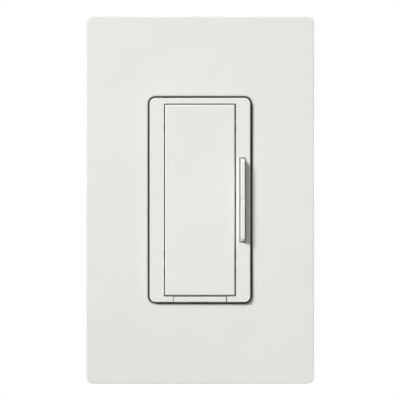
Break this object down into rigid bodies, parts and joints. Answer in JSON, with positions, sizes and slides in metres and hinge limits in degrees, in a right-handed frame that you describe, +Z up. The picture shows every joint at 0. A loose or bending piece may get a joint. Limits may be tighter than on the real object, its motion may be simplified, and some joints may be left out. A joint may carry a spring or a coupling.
{
  "type": "companion dimmer switch",
  "caption": "Wall-box companion dimmer: tap paddle, narrow dimming rocker and pull tab in a bezel, on a metal yoke with a terminal housing and screwless wall plate.",
  "frame": {"origin": "on the wall's surface, midway between the two box screws", "axes": "+X to the right seen from the front, +Y into the wall, +Z up the wall"},
  "size_m": [0.0738, 0.04, 0.119],
  "materials": {
    "white_plate": "satin moulded",
    "white_control": "satin moulded",
    "white_adapter": "matt moulded",
    "yoke_metal": "rolled sheet",
    "plated_screw": "zinc plated",
    "fibre": "matt sheet",
    "green_screw": "coloured plating",
    "black_housing": "fine texture",
    "board": "solder mask",
    "switch_body": "moulded",
    "switch_stem": "moulded",
    "diode": "moulded with pale band",
    "contact_metal": "rolled bronze",
    "terminal_brass": "stamped",
    "black_screw": "black oxide",
    "brass_screw": "bright",
    "blue_screw": "coloured plating"
  },
  "bodies": {
    "chassis": {"wall_plate": "white_plate", "plate_adapter": "white_adapter", "bezel": "white_control", "yoke": "yoke_metal", "adapter_screws": "plated_screw", "mounting_screws": "plated_screw", "case_screws": "plated_screw", "screw_retainers": "fibre", "insulating_liner": "fibre", "ground_screw": "green_screw", "back_cover": "black_housing", "circuit_board": "board", "paddle_switch": "switch_body", "raise_switch": "switch_body", "lower_switch": "switch_body", "raise_diode": "diode", "lower_diode": "diode", "contact_leaf": "contact_metal", "fixed_contact": "contact_metal", "supply_terminal": "terminal_brass", "switched_terminal": "terminal_brass", "signal_terminal": "terminal_brass", "supply_terminal_screw": "black_screw", "switched_terminal_screw": "brass_screw", "signal_terminal_screw": "blue_screw"},
    "paddle": {"tap_paddle": "white_control"},
    "rocker": {"dimming_rocker": "white_control"},
    "tab": {"service_tab": "white_control"},
    "paddle_stem": {"paddle_switch_stem": "switch_stem"},
    "raise_stem": {"raise_switch_stem": "switch_stem"},
    "lower_stem": {"lower_switch_stem": "switch_stem"}
  },
  "joints": [
    {"name": "paddle_hinge", "type": "hinge", "parent": "chassis", "child": "paddle", "pos_m": [0, -0.0052, 0.02875], "axis": [1, 0, 0], "range_deg": [0, 0.93], "stiffness_Nm_per_rad": 2, "springref_deg": -0.57},
    {"name": "rocker_tilt", "type": "hinge", "parent": "chassis", "child": "rocker", "pos_m": [0.01382, -0.00565, 0], "axis": [-1, 0, 0], "range_deg": [-1.56, 1.56], "stiffness_Nm_per_rad": 0.6},
    {"name": "service_tab_slide", "type": "slide", "parent": "chassis", "child": "tab", "axis": [0, -1, 0], "range_m": [0, 0.0035], "deforming": ["contact_leaf"]},
    {"name": "paddle_stem_slide", "type": "slide", "parent": "chassis", "child": "paddle_stem", "axis": [0, 1, 0], "range_m": [0, 0.0005]},
    {"name": "raise_stem_slide", "type": "slide", "parent": "chassis", "child": "raise_stem", "axis": [0, 1, 0], "range_m": [-0.0003, 0.0003]},
    {"name": "lower_stem_slide", "type": "slide", "parent": "chassis", "child": "lower_stem", "axis": [0, 1, 0], "range_m": [-0.0003, 0.0003]}
  ],
  "couplings": [
    {"joint": "paddle_stem_slide", "follows": "paddle_hinge", "m_per_rad": 0.03075},
    {"joint": "raise_stem_slide", "follows": "rocker_tilt", "m_per_rad": 0.011},
    {"joint": "lower_stem_slide", "follows": "rocker_tilt", "m_per_rad": -0.011}
  ]
}
